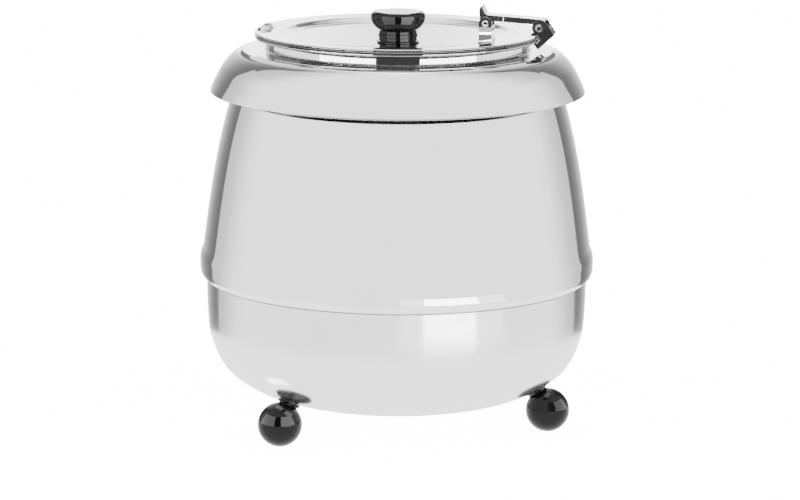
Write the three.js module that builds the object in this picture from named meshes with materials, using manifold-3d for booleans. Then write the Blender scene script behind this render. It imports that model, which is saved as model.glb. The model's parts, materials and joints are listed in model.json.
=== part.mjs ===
// Soup kettle: a water-bath warmer with a lift-out pot, a double-pivot lid and three ball feet.
// Millimetres, +Z up. The origin is on the kettle's axis at floor level.
// +X points to the lid hinge, -X to the ladle notch and +Y to the controls.
import * as THREE from 'three';
import { mergeVertices } from 'three/addons/utils/BufferGeometryUtils.js';
import Module from 'manifold-3d';

const wasm = await Module();
wasm.setup();

// ---- driving dimensions ----
const SHEET = 1.2;            // wall of every pressed steel shell
const GAP = 0.3;              // working gap between pieces that touch
const SIDES = 36;             // facets round every large turned shell

const BEAD_R = 180;           // widest ring of the housing
const SEAM_R = 174;           // where the barrel meets the base bowl
const SEAM_Z = 137;
const BOWL_BOTTOM_Z = 26.5;

const BARREL_FOOT_R = 177;    // barrel radius just above the bead
const BARREL_FOOT_Z = 166;
const BARREL_TOP_Z = 342;

const LIP_R = 170.2;          // lower edge of the domed collar
const LIP_Z = 308.2;
const DECK_Z = 346.8;         // flat ring on top of the collar
const NECK_R = 120.1;
const NECK_TOP_Z = 355.8;

const POT_R = 117.4;
const POT_BOTTOM_Z = 131;
const POT_CORNER = 17;
const ROLL_R = 127.65;        // centre line of the pot's rolled rim
const ROLL_Z = 358.35;
const ROLL_THICK = 2.35;

const WELL_R = 124;
const WELL_BOTTOM_Z = 112;

const LID_R = 130;
const LID_CENTRE_Z = 352;
const LID_DISH = 5.35e-4;     // rise of the dished panel per millimetre of radius squared
const LID_DISH_R = 103.2;
const LID_DECK_Z = 362.4;
const LID_THICK = 1.0;
const LADLE_X = -131;         // centre of the half-round ladle notch
const LADLE_R = 15;

const KNOB_Z = 352.5;

const RIM_PIVOT = [129.4, 369.2];   // x, z of the pin that joins arm and pot
const LID_PIVOT = [80.8, 372.2];    // x, z of the pin that joins arm and lid
const ARM_HALF = 9.6;
const CHEEK_IN = 10.0;
const CHEEK_OUT = 11.2;
const PIN_R = 1.9;
const PIN_HOLE_R = 2.25;

const FOOT_COUNT = 3;
const FOOT_RING_R = 144.2;
const FOOT_TURN = -7.5;       // degrees from +X to the first foot
const FOOT_TILT = 31;         // degrees that each foot's stud leans inwards
const BALL_R = 20;
const STUD_R = 3;

const DIAL_Z = 106;
const SCREW_X = 14;           // thermostat screws, to each side of the dial
const LAMP_TURN = 75;         // degrees from +X
const GLAND_X = -50;
const GLAND_Z = 98;
const GLAND_THREAD_R = 7.8;
const CORD_HOLE_R = 4.6;

// ---- materials ----
function metal(colour, roughness) {
  return new THREE.MeshStandardMaterial({ color: colour, roughness, metalness: 1 });
}

function plastic(colour, roughness) {
  return new THREE.MeshStandardMaterial({ color: colour, roughness, metalness: 0 });
}

const FINISH = {
  mirrorSteel: metal(0xd9d9d9, 0.08),
  satinSteel: metal(0xcfcfcf, 0.3),
  chrome: metal(0xe4e4e6, 0.05),
  plainSteel: metal(0xb5b5b5, 0.4),
  gloss: plastic(0x121214, 0.12),
  matte: plastic(0x1c1c1e, 0.5),
  ceramic: plastic(0xe6e1d4, 0.6),
  brass: metal(0xc9a24c, 0.35),
  lens: plastic(0xd87a1e, 0.2),
};

// ---- solids ----
function signedVolume(corners, triangles) {
  const point = (i) => new THREE.Vector3().fromArray(corners, 3 * i);
  let total = 0;
  for (let i = 0; i < triangles.length; i += 3) {
    const [a, b, c] = [0, 1, 2].map((k) => point(triangles[i + k]));
    total += a.dot(b.cross(c));
  }
  return total;
}

function toSolid(geometry) {
  const plain = geometry.clone();
  plain.deleteAttribute('normal');
  plain.deleteAttribute('uv');
  const merged = mergeVertices(plain, 1e-4);
  const corners = merged.attributes.position.array;
  const index = merged.index.array;
  const triangles = [];
  for (let i = 0; i < index.length; i += 3) {
    const [a, b, c] = index.slice(i, i + 3);
    if (a !== b && b !== c && c !== a) triangles.push(a, b, c);
  }
  if (signedVolume(corners, triangles) < 0) triangles.reverse();
  const mesh = new wasm.Mesh({
    numProp: 3,
    vertProperties: Float32Array.from(corners),
    triVerts: Uint32Array.from(triangles),
  });
  return new wasm.Manifold(mesh);
}

function toGeometry(solid) {
  const mesh = solid.getMesh();
  const geometry = new THREE.BufferGeometry();
  geometry.setAttribute('position', new THREE.BufferAttribute(mesh.vertProperties, 3));
  geometry.setIndex(new THREE.BufferAttribute(mesh.triVerts, 1));
  geometry.computeVertexNormals();
  return geometry;
}

function moved(geometry, matrix) {
  return geometry.clone().applyMatrix4(matrix);
}

function joined(solids) {
  return solids.reduce((whole, next) => whole.add(next));
}

// ---- outlines: lists of [radius or x, z] ----
function arc(x, z, radius, from, to, steps) {
  return Array.from({ length: steps + 1 }, (_, i) => {
    const angle = THREE.MathUtils.degToRad(from + ((to - from) * i) / steps);
    return [x + radius * Math.cos(angle), z + radius * Math.sin(angle)];
  });
}

function smooth(points, steps) {
  const curve = new THREE.SplineCurve(points.map(([x, z]) => new THREE.Vector2(x, z)));
  return curve.getPoints(steps).map((p) => [p.x, p.y]);
}

// The same outline moved to the left of its direction of travel, or to the right if distance is negative.
function offset(outline, distance) {
  return outline.map((point, i) => {
    const before = outline[Math.max(i - 1, 0)];
    const after = outline[Math.min(i + 1, outline.length - 1)];
    const dx = after[0] - before[0];
    const dz = after[1] - before[1];
    const length = Math.hypot(dx, dz);
    if (point[0] === 0) return [0, point[1] + distance * Math.sign(dx)];
    return [point[0] - (dz / length) * distance, point[1] + (dx / length) * distance];
  });
}

function turnedGeometry(outline, sides = SIDES) {
  const points = outline.map(([r, z]) => new THREE.Vector2(r, z));
  if (outline[0][0] > 0) points.push(points[0].clone());
  return new THREE.LatheGeometry(points, sides).rotateX(Math.PI / 2);
}

function turned(outline, sides = SIDES) {
  return toSolid(turnedGeometry(outline, sides));
}

function pressed(outline, thickness = SHEET, sides = SIDES) {
  return turned([...outline, ...offset(outline, thickness).reverse()], sides);
}

function disc(radius, low, high) {
  return [[0, low], [radius, low], [radius, high], [0, high]];
}

function rod(radius, low, high, sides = 14) {
  return turnedGeometry(disc(radius, low, high), sides);
}

// A six-sided nut. Its hole is six-sided too, and clears a thread of the given radius.
function nut(thread, corner, low, high) {
  const hole = (thread + GAP) / Math.cos(Math.PI / 6);
  return turnedGeometry([[hole, low], [corner, low], [corner, high], [hole, high]], 6);
}

// A flat plate: its outline in x and z, its thickness along y.
function plate(outline, y0, y1, holes = []) {
  const shape = new THREE.Shape(outline.map(([x, z]) => new THREE.Vector2(x, z)));
  for (const [x, z, radius] of holes) {
    const ring = arc(x, z, radius, 0, 337.5, 15);
    shape.holes.push(new THREE.Path(ring.map(([u, v]) => new THREE.Vector2(u, v))));
  }
  const flat = new THREE.ExtrudeGeometry(shape, { depth: y1 - y0, bevelEnabled: false });
  return toSolid(flat.rotateX(Math.PI / 2).translate(0, y1, 0));
}

function block(low, high) {
  const size = high.map((value, i) => value - low[i]);
  const middle = high.map((value, i) => (value + low[i]) / 2);
  return toSolid(new THREE.BoxGeometry(...size).translate(...middle));
}

function tube(points, radius, sides, steps) {
  const path = new THREE.CatmullRomCurve3(points.map((p) => new THREE.Vector3(...p)));
  const ring = arc(0, 0, radius, 0, 360 - 360 / sides, sides - 1);
  const section = new THREE.Shape(ring.map(([x, y]) => new THREE.Vector2(x, y)));
  return new THREE.ExtrudeGeometry(section, { steps, extrudePath: path, bevelEnabled: false });
}

// ---- frames for pieces that don't stand on the main axis ----
const alongY = new THREE.Matrix4().makeRotationX(-Math.PI / 2);

function aroundZ(degrees) {
  return new THREE.Matrix4().makeRotationZ(THREE.MathUtils.degToRad(degrees));
}

// +Z of this frame leaves the housing at the given angle and height, through its wall.
function throughWall(degrees, height) {
  const outwards = new THREE.Matrix4().makeRotationY(Math.PI / 2);
  return aroundZ(degrees).multiply(new THREE.Matrix4().makeTranslation(0, 0, height)).multiply(outwards);
}

// +Z of this frame leaves the housing straight to the back, parallel to +Y.
function throughBack(x, height) {
  return new THREE.Matrix4().makeTranslation(x, 0, 0).multiply(throughWall(90, height));
}

// +Z of this frame runs from the ball's centre up its stud.
const footLean = new THREE.Matrix4()
  .makeTranslation(FOOT_RING_R, 0, BALL_R)
  .multiply(new THREE.Matrix4().makeRotationY(THREE.MathUtils.degToRad(-FOOT_TILT)));

// ---- housing shells ----
const bowlOutline = smooth([
  [0, BOWL_BOTTOM_Z], [70, 27.5], [110, 30.5], [137, 40], [155, 53],
  [164, 66], [169.3, 80], [172, 92], [173.4, 113], [SEAM_R, SEAM_Z],
], 11);
const bowlVolume = turned([...offset(bowlOutline, -GAP), [0, SEAM_Z]]);

function baseBowl() {
  const tuck = SEAM_R - 1.1;
  const inside = offset(bowlOutline, SHEET).slice(0, -2).reverse();
  const ledge = [
    [tuck, SEAM_Z], [tuck, SEAM_Z + 9], [tuck - SHEET, SEAM_Z + 9], [tuck - SHEET, SEAM_Z - 2],
  ];
  let bowl = turned([...bowlOutline, ...ledge, ...inside]);
  const holes = [
    moved(rod(5, 150, 200), throughBack(0, DIAL_Z)),
    moved(rod(2, 150, 200, 12), throughBack(-SCREW_X, DIAL_Z)),
    moved(rod(2, 150, 200, 12), throughBack(SCREW_X, DIAL_Z)),
    moved(rod(6.4, 150, 200), throughWall(LAMP_TURN, DIAL_Z)),
    moved(rod(GLAND_THREAD_R + 0.4, 140, 200), throughBack(GLAND_X, GLAND_Z)),
    rod(4.4, 0, 60),
  ];
  for (let k = 0; k < FOOT_COUNT; k += 1) {
    holes.push(moved(rod(STUD_R + 0.4, 15, 40), aroundZ(FOOT_TURN - 120 * k).multiply(footLean)));
  }
  for (const hole of holes) bowl = bowl.subtract(toSolid(hole));
  return bowl;
}

function barrelRadius(z) {
  const up = z - BARREL_FOOT_Z;
  return BARREL_FOOT_R - 0.13 * up - 3.05e-6 * up ** 3;
}

function barrelShell() {
  const bead = [[SEAM_R + 0.5, SEAM_Z + 0.5], [178.4, 141.2], [BEAD_R, 146.5], [BEAD_R, 154.5]];
  const steps = 4;
  const wall = Array.from({ length: steps + 1 }, (_, i) => {
    const z = THREE.MathUtils.lerp(BARREL_FOOT_Z, BARREL_TOP_Z, i / steps);
    return [barrelRadius(z), z];
  });
  return pressed([...bead, ...wall, [135.4, 344.7], [134.2, 344.9]]);
}

function collar() {
  const dome = smooth([[LIP_R, LIP_Z], [164.4, 322], [158, 333], [148.7, 342.5], [140, DECK_Z - 0.3]], 6);
  const fillet = 5;
  const neck = arc(NECK_R + fillet, DECK_Z + fillet, fillet, 270, 180, 3);
  return pressed([...dome, ...neck, [NECK_R, NECK_TOP_Z]]);
}

function waterWell() {
  const flangeZ = DECK_Z - SHEET - 0.6;
  const corner = 16;
  return pressed([
    [0, WELL_BOTTOM_Z],
    ...arc(WELL_R - corner, WELL_BOTTOM_Z + corner, corner, 270, 360, 3),
    [WELL_R, flangeZ - 5],
    [WELL_R + 4, flangeZ - SHEET],
    [133.4, flangeZ - SHEET],
  ], SHEET, 36);
}

function heatShield() {
  const pan = [[6, 86], [124, 86], [128, 92]];
  let shield = pressed(pan, SHEET, 32);
  for (const x of [-12, 12]) shield = shield.subtract(toSolid(rod(6.5, 80, 100).translate(x, -80, 0)));
  return shield;
}

// ---- pot and lid ----
function soupPot() {
  const wall = POT_R - SHEET;
  const floor = POT_BOTTOM_Z + SHEET;
  const flangeZ = ROLL_Z - ROLL_THICK + 0.1;
  return turned([
    [0, POT_BOTTOM_Z],
    ...arc(POT_R - POT_CORNER, POT_BOTTOM_Z + POT_CORNER, POT_CORNER, 270, 360, 3),
    [POT_R, flangeZ],
    ...arc(ROLL_R, ROLL_Z, ROLL_THICK, 270, 480, 6),
    [wall + 2, 357.3],
    [wall, 355.2],
    ...arc(POT_R - POT_CORNER, floor + POT_CORNER - SHEET, POT_CORNER - SHEET, 360, 270, 3),
    [0, floor],
  ]);
}

function dishZ(radius) {
  return LID_CENTRE_Z + LID_DISH * radius ** 2;
}

const lidDish = Array.from({ length: 4 }, (_, i) => {
  const radius = (LID_DISH_R * i) / 3;
  return [radius, dishZ(radius)];
});
const lidTop = [...lidDish, [105.8, 360.6], [109, 361.6], [127.6, LID_DECK_Z]];
const lidVolume = turned([[0, 340], [LID_R, 340], ...offset(lidTop, GAP).reverse()]);

function lid() {
  const rim = arc(LID_R - 0.8, LID_DECK_Z - 0.75, 0.8, 75, -75, 2);
  const under = offset(lidTop.slice(0, -1), -LID_THICK).reverse();
  let body = turned([...lidTop, ...rim, [127.6, 361.05], ...under]);
  const lip = turned([
    [LADLE_R, 361.7], [LADLE_R + 1.4, 365.6], [LADLE_R + 2.4, 365.2], [LADLE_R + 1.2, 361.7],
  ], 32).translate([LADLE_X, 0, 0]);
  body = body.add(lip.intersect(turned(disc(LID_R - 1, 350, 370))));
  body = body.subtract(toSolid(rod(LADLE_R, 350, 370, 32).translate(LADLE_X, 0, 0)));
  body = body.subtract(block([120.6, -12.6, 350], [140, 12.6, 370]));
  return body.subtract(toSolid(rod(3, 340, 360, 16)));
}

function lidKnob() {
  const bulb = smooth([
    [18.2, 359.6], [21.8, 366], [24.2, 371.6], [24.9, 375.4], [23.6, 379], [21.6, 380.6],
  ], 7);
  return turned([
    [2.8, KNOB_Z], [19.2, KNOB_Z], [19.2, KNOB_Z + 0.8], [18, KNOB_Z + 1.4], [17.8, 356.4], [17.2, 356.6],
    [17.2, 357.2], [17.8, 357.4], [17.6, 359.6], ...bulb, [21, 379.2], [0, 379.2], [0, 370], [2.8, 370],
  ], 24);
}

function knobDisc() {
  return turned([[0, 379.5], [20.6, 379.5], [20.6, 380.5], [14, 381], [0, 381.2]], 28);
}

function knobScrew() {
  return turned([[0, 346.4], [4, 346.4], [5, 347.6], [5, 349.1], [2.4, 349.1], [2.4, 368], [0, 368]], 20);
}

function knobWasher() {
  return turned([[2.9, 349.4], [8, 349.4], [8, 350.6], [2.9, 350.6]], 24);
}

// ---- double-pivot hinge ----
function beyond(pivot, angle, along, across) {
  const turn = THREE.MathUtils.degToRad(angle);
  return [
    pivot[0] + across * Math.cos(turn) + along * Math.sin(turn),
    pivot[1] + across * Math.sin(turn) - along * Math.cos(turn),
  ];
}

function hingeArm() {
  const [rimX, rimZ] = RIM_PIVOT;
  const [lidX, lidZ] = LID_PIVOT;
  const webR = 7.9;
  const back = [
    [77.2, 387.5], [80.2, 381.2], [82, 379.9],
    ...arc(rimX, rimZ, webR, 93, 52, 5),
  ];
  const web = [...back, ...offset(back, -1.4).reverse()];
  const outline = [
    ...back,
    ...arc(rimX, rimZ, 4.6, 20, -180, 8),
    [rimX - 6, 372.4],
    [lidX + 7.6, 374.6],
    ...arc(lidX, lidZ, 4.2, 20, -180, 8),
    [75.2, 378], [74.9, 384], [75.8, 387],
  ];
  const holes = [[rimX, rimZ, PIN_HOLE_R], [lidX, lidZ, PIN_HOLE_R]];
  return joined([
    plate(web, -ARM_HALF, ARM_HALF),
    plate(outline, -ARM_HALF, SHEET - ARM_HALF, holes),
    plate(outline, ARM_HALF - SHEET, ARM_HALF, holes),
  ]);
}

function rimBracket() {
  const lean = 33.5;
  const cheek = [
    ...arc(130, 369.8, 7, 200, lean, 9),
    [142.9, 363], [128.5, 349.8], [124.1, 355.5], [130.3, 355.5], [130.3, 361.3], [126.4, 361.3],
  ];
  const hole = [[...RIM_PIVOT, PIN_R + GAP]];
  const web = [
    beyond(RIM_PIVOT, lean, 5.6, 7.8), beyond(RIM_PIVOT, lean, 12.4, 7.8),
    beyond(RIM_PIVOT, lean, 12.4, 6.4), beyond(RIM_PIVOT, lean, 5.6, 6.4),
  ];
  return joined([
    plate(cheek, -CHEEK_OUT, -CHEEK_IN, hole),
    plate(cheek, CHEEK_IN, CHEEK_OUT, hole),
    plate(web, -CHEEK_OUT, CHEEK_OUT),
  ]);
}

function lidBracket() {
  const [x, z] = LID_PIVOT;
  const half = 5.9;
  const bottom = 354;
  const ankle = 357.6;
  const cheek = [[x - half, bottom], [x + half, bottom], ...arc(x, z, half, 0, 180, 10)];
  const hole = [[x, z, PIN_R + GAP]];
  const whole = joined([
    plate(cheek, -CHEEK_OUT, -CHEEK_IN, hole),
    plate(cheek, CHEEK_IN, CHEEK_OUT, hole),
    block([x + half - SHEET, -CHEEK_OUT, bottom], [x + half, CHEEK_OUT, 369.5]),
    block([x - half, -17.5, bottom], [x + half, -CHEEK_IN, ankle]),
    block([x - half, CHEEK_IN, bottom], [x + half, 17.5, ankle]),
  ]);
  return whole.subtract(lidVolume);
}

// A riveted pin lying along y, with a washer-like head and a dome at each end.
function hingePin(pivot, headR, domeR) {
  const face = CHEEK_OUT + GAP;
  const half = [
    [PIN_R, 0], [PIN_R, face], [headR, face], [headR, face + 0.7], [domeR, face + 0.9],
    [domeR * 0.8, face + 1.7], [0, face + 1.7],
  ];
  const mirrored = half.map(([r, s]) => [r, -s]).reverse();
  return turnedGeometry([...mirrored.slice(0, -1), ...half.slice(1)], 16)
    .applyMatrix4(alongY)
    .translate(pivot[0], 0, pivot[1]);
}

// ---- feet ----
function ballFoot() {
  const neckR = 8.7;
  const neckTop = 19;
  const boreR = STUD_R + GAP;
  const boreEnd = 5.7;
  const padR = 5.4;
  const neckAngle = THREE.MathUtils.radToDeg(Math.acos(neckR / BALL_R));
  const outline = [
    ...arc(0, 0, BALL_R, -90, neckAngle, 9),
    [neckR, neckTop], [boreR, neckTop], [boreR, boreEnd], [0, boreEnd],
  ];
  const ball = moved(turnedGeometry(outline, 16), footLean);
  const pad = rod(padR, 0, 3).translate(FOOT_RING_R, 0, 0);
  return toSolid(ball).add(toSolid(pad)).subtract(block([100, -30, -10], [200, 30, 0]));
}

function footSaucer(turn) {
  const boreR = STUD_R + GAP;
  const dish = [[9.4, 19.3], [10.2, 19.5], [10.5, 20], [10.5, 25.5], [boreR, 25.5], [boreR, 19.3]];
  return toSolid(moved(turnedGeometry(dish, 18), aroundZ(turn).multiply(footLean))).subtract(bowlVolume);
}

function footStud() {
  return moved(rod(STUD_R, 6, 33, 16), footLean);
}

function footNut() {
  return moved(nut(STUD_R, 6.4, 24.6, 29.6), footLean);
}

// ---- heating and controls ----
function heatingElement() {
  const ringR = 80;
  const height = WELL_BOTTOM_Z - 6.5;
  const points = [[-12, -80, 72], [-12, -80, 84]];
  for (let turn = 252; turn >= -72; turn -= 27) {
    const angle = THREE.MathUtils.degToRad(turn);
    points.push([ringR * Math.cos(angle), ringR * Math.sin(angle), height]);
  }
  points.push([12, -80, 84], [12, -80, 72]);
  return tube(points, 4, 8, 46);
}

function thermostatBody() {
  const half = 16;
  const box = block([-half, 138, DIAL_Z - half], [half, 166, DIAL_Z + half]);
  const nose = toSolid(moved(rod(4.6, 160, 170), throughBack(0, DIAL_Z)));
  const bore = toSolid(moved(rod(3.4, 150, 180), throughBack(0, DIAL_Z)));
  return box.add(nose).subtract(bore);
}

function dialPlate() {
  const disk = moved(rod(23, 165, 176.2, 28), throughBack(0, DIAL_Z));
  let face = toSolid(disk).subtract(bowlVolume);
  face = face.subtract(toSolid(moved(rod(4.4, 150, 200), throughBack(0, DIAL_Z))));
  for (const x of [-SCREW_X, SCREW_X]) {
    face = face.subtract(toSolid(moved(rod(2, 150, 200, 12), throughBack(x, DIAL_Z))));
  }
  return face;
}

function dialKnob() {
  const skirt = turned([[0, 177], [19, 177], [19, 178.6], [16, 180], [15, 181], [0, 181]], 24);
  const grip = block([-2.6, -14, 180.5], [2.6, 14, 184]);
  const bore = toSolid(rod(3.3, 170, 181.5, 16));
  return skirt.add(grip).subtract(bore);
}

function dialShaft() {
  return moved(rod(3, 152, 181.2), throughBack(0, DIAL_Z));
}

function thermostatScrew(x) {
  return moved(rod(1.6, 167.2, 173.9, 12), throughBack(x, DIAL_Z));
}

function lampLens() {
  return turned([
    [0, 172], [6.1, 172], [6.1, 174.6], [7.4, 174.6], [7.4, 175.4], [5.4, 176.8], [0, 177.4],
  ], 20);
}

// The gland's flange is cut to the round wall; only its threaded neck goes through.
function cordGland() {
  const neckIn = 148;
  const flangeIn = 158;
  const tip = 180;
  const profile = [
    [CORD_HOLE_R, neckIn], [GLAND_THREAD_R, neckIn], [GLAND_THREAD_R, flangeIn], [11.5, flangeIn],
    [11.5, 171.5], [9.2, 172.6], [8.2, tip - 1.2], [7, tip], [CORD_HOLE_R, tip],
  ];
  const whole = toSolid(moved(turnedGeometry(profile, 20), throughBack(GLAND_X, GLAND_Z)));
  const neck = toSolid(moved(rod(GLAND_THREAD_R + 0.1, neckIn - 1, tip, 20), throughBack(GLAND_X, GLAND_Z)));
  return whole.subtract(bowlVolume.subtract(neck));
}

function glandNut() {
  return moved(nut(GLAND_THREAD_R, 12.2, 151, 157), throughBack(GLAND_X, GLAND_Z));
}

function sensorBulb() {
  return moved(rod(3.1, -36, 36, 16), new THREE.Matrix4().makeRotationY(Math.PI / 2)).translate(0, 45, 108.2);
}

function capillary() {
  return tube([
    [-37.2, 45, 107.5], [-44, 50, 103], [-42, 78, 97.5], [-22, 112, 98], [-8, 130, 100], [-8, 137.6, 100],
  ], 0.9, 6, 18);
}

// ---- assembly ----
function add(group, name, shape, material) {
  const geometry = shape.isBufferGeometry ? toGeometry(toSolid(shape)) : toGeometry(shape);
  const mesh = new THREE.Mesh(geometry, material);
  mesh.name = name;
  group.add(mesh);
}

function housing() {
  const group = new THREE.Group();
  add(group, 'barrel_shell', barrelShell(), FINISH.mirrorSteel);
  add(group, 'base_bowl', baseBowl(), FINISH.satinSteel);
  add(group, 'collar', collar(), FINISH.mirrorSteel);
  add(group, 'water_well', waterWell(), FINISH.satinSteel);
  add(group, 'heat_shield', heatShield(), FINISH.plainSteel);
  add(group, 'centre_stud', rod(4, 14, WELL_BOTTOM_Z - GAP, 16), FINISH.plainSteel);
  add(group, 'centre_washer', turned([[4.3, 24.4], [12, 24.4], [12, 26], [4.3, 26]], 24), FINISH.plainSteel);
  add(group, 'centre_nut', nut(4, 8, 17.5, 24), FINISH.plainSteel);
  return group;
}

function heating() {
  const group = new THREE.Group();
  add(group, 'heating_element', heatingElement(), FINISH.plainSteel);
  add(group, 'thermal_cutout', rod(9, 100, 111.6, 20).translate(32, 18, 0), FINISH.ceramic);
  add(group, 'sensor_bulb', sensorBulb(), FINISH.brass);
  add(group, 'capillary_tube', capillary(), FINISH.brass);
  add(group, 'terminal_block', block([-84, 58, 38], [-54, 76, 54]), FINISH.ceramic);
  add(group, 'earth_stud', rod(2.5, 29.6, 44, 12).translate(-20, 76, 0), FINISH.brass);
  return group;
}

function placed(name, shape, material, frame) {
  const group = new THREE.Group();
  group.applyMatrix4(frame);
  add(group, name, shape, material);
  return group;
}

function controls() {
  const group = new THREE.Group();
  add(group, 'thermostat_body', thermostatBody(), FINISH.matte);
  add(group, 'dial_plate', dialPlate(), FINISH.satinSteel);
  add(group, 'thermostat_screw_1', thermostatScrew(-SCREW_X), FINISH.plainSteel);
  add(group, 'thermostat_screw_2', thermostatScrew(SCREW_X), FINISH.plainSteel);
  add(group, 'dial_shaft', dialShaft(), FINISH.plainSteel);
  group.add(placed('dial_knob', dialKnob(), FINISH.matte, throughBack(0, DIAL_Z)));
  group.add(placed('pilot_lamp', lampLens(), FINISH.lens, throughWall(LAMP_TURN, DIAL_Z)));
  add(group, 'cord_gland', cordGland(), FINISH.matte);
  add(group, 'gland_nut', glandNut(), FINISH.matte);
  return group;
}

function feet() {
  const group = new THREE.Group();
  const ball = ballFoot();
  for (let k = 0; k < FOOT_COUNT; k += 1) {
    const turn = FOOT_TURN - 120 * k;
    const foot = new THREE.Group();
    foot.rotation.z = THREE.MathUtils.degToRad(turn);
    add(group, `foot_saucer_${k + 1}`, footSaucer(turn), FINISH.gloss);
    add(foot, `ball_foot_${k + 1}`, ball, FINISH.gloss);
    add(foot, `foot_stud_${k + 1}`, footStud(), FINISH.plainSteel);
    add(foot, `foot_nut_${k + 1}`, footNut(), FINISH.plainSteel);
    group.add(foot);
  }
  return group;
}

function potAndLid() {
  const group = new THREE.Group();
  add(group, 'soup_pot', soupPot(), FINISH.mirrorSteel);
  add(group, 'rim_bracket', rimBracket(), FINISH.chrome);
  add(group, 'rim_pin', hingePin(RIM_PIVOT, 3.7, 2.4), FINISH.chrome);
  add(group, 'hinge_arm', hingeArm(), FINISH.chrome);
  add(group, 'lid', lid(), FINISH.mirrorSteel);
  add(group, 'lid_bracket', lidBracket(), FINISH.chrome);
  add(group, 'lid_pin', hingePin(LID_PIVOT, 2.9, 2.4), FINISH.chrome);
  add(group, 'lid_knob', lidKnob(), FINISH.gloss);
  add(group, 'knob_disc', knobDisc(), FINISH.chrome);
  add(group, 'knob_screw', knobScrew(), FINISH.plainSteel);
  add(group, 'knob_washer', knobWasher(), FINISH.plainSteel);
  return group;
}

const kettle = new THREE.Group();
kettle.add(housing(), heating(), controls(), feet(), potAndLid());

export default kettle;
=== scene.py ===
"""Soup kettle: the looks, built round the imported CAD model. Metres, +Z up; outlines are in millimetres."""
import json
import math

import bmesh
import bpy
from mathutils import Matrix, Vector


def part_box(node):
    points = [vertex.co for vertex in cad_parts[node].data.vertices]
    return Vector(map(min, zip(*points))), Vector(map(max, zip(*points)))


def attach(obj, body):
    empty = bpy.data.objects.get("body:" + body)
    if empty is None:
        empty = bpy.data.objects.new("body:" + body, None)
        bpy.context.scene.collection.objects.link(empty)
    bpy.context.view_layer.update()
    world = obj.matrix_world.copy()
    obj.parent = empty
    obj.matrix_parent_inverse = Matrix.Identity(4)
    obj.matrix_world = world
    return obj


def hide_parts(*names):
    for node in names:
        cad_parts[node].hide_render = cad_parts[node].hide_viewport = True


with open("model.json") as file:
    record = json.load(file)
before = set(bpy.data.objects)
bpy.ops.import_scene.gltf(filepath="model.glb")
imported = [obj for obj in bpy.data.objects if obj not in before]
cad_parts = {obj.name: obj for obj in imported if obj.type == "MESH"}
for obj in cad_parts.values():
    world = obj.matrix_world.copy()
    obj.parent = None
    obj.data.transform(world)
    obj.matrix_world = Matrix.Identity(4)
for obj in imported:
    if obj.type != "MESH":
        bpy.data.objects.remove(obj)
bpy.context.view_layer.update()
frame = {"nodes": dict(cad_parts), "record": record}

MM = 0.001
SIDES = 192                  # steps round a large turned shell
PLATE_BEVEL = 0.25
NODES = frame["nodes"]
RECORD = frame["record"]
BODY_OF = {node: body for body, nodes in RECORD["behaviour"]["bodies"].items() for node in nodes}
SLOT_OF = {part["node"]: part["material_slot"] for part in RECORD["subparts"]}

# ---- sizes in millimetres, the same as the frame's ----
SHEET = 1.2
CLEAR = 0.35                 # the gap left between a seated piece and the bowl
BEAD_R = 180.0
SEAM_R, SEAM_Z = 174.0, 137.0
BOWL_BOTTOM_Z = 26.5
BARREL_FOOT_R, BARREL_FOOT_Z, BARREL_TOP_Z = 177.0, 166.0, 342.0
LIP_R, LIP_Z = 170.2, 308.2
DECK_Z, NECK_R, NECK_TOP_Z = 346.8, 120.1, 355.8
POT_R, POT_BOTTOM_Z, POT_CORNER = 117.4, 131.0, 17.0
ROLL_R, ROLL_Z, ROLL_THICK = 127.65, 358.35, 2.35
WELL_R, WELL_BOTTOM_Z = 124.0, 112.0
LID_R, LID_DECK_Z, LID_THICK = 130.0, 362.4, 1.0
LID_CENTRE_Z, LID_DISH, LID_DISH_R = 352.0, 5.35e-4, 103.2
LID_STEP_R, LID_STEP_Z = 109.0, 361.6
LADLE_X, LADLE_R, LADLE_LIFT = -131.0, 15.0, 3.2
SLOT_X, SLOT_HALF = 120.6, 12.6
RIM_PIVOT, LID_PIVOT = (129.4, 369.2), (80.8, 372.2)
ARM_HALF, CHEEK_IN, CHEEK_OUT, PIN_R = 9.6, 10.0, 11.2, 1.9
FOOT_COUNT, FOOT_RING_R, FOOT_TURN, FOOT_TILT, BALL_R = 3, 144.2, -7.5, 31.0, 20.0
DIAL_Z, DIAL_FACE_Y, LAMP_TURN = 106.0, 176.2, 75.0
GLAND_X, GLAND_Z = -50.0, 98.0


# ---- camera: its turn from -Y towards +X, its rise and its roll are in degrees ----
CAMERA_TURN, CAMERA_RISE, CAMERA_ROLL = 8.43, 10.73, 0.36
CAMERA_TARGET, CAMERA_AWAY = Vector((0, 0, 0.190)), 3.0
SENSOR, LENS, SHIFT = 36, 147.4, (0.0039, -0.0404)
FRONT = math.radians(CAMERA_TURN)


def add_camera():
    elevation, roll = math.radians(CAMERA_RISE), math.radians(CAMERA_ROLL)
    level = math.cos(elevation)
    away = Vector((math.sin(FRONT) * level, -math.cos(FRONT) * level, math.sin(elevation)))
    data = bpy.data.cameras.new("camera")
    data.sensor_width = SENSOR
    data.lens = LENS
    data.shift_x, data.shift_y = SHIFT
    camera = bpy.data.objects.new("camera", data)
    turn = away.to_track_quat("Z", "Y").to_matrix() @ Matrix.Rotation(roll, 3, "Z")
    camera.matrix_world = Matrix.Translation(CAMERA_TARGET + away * CAMERA_AWAY) @ turn.to_4x4()
    bpy.context.scene.collection.objects.link(camera)
    bpy.context.scene.camera = camera


add_camera()


# ---- outlines: lists of (radius or x, z) ----
def arc(x, z, radius, start, end, steps):
    angles = [math.radians(start + (end - start) * i / steps) for i in range(steps + 1)]
    return [(x + radius * math.cos(a), z + radius * math.sin(a)) for a in angles]


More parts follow.
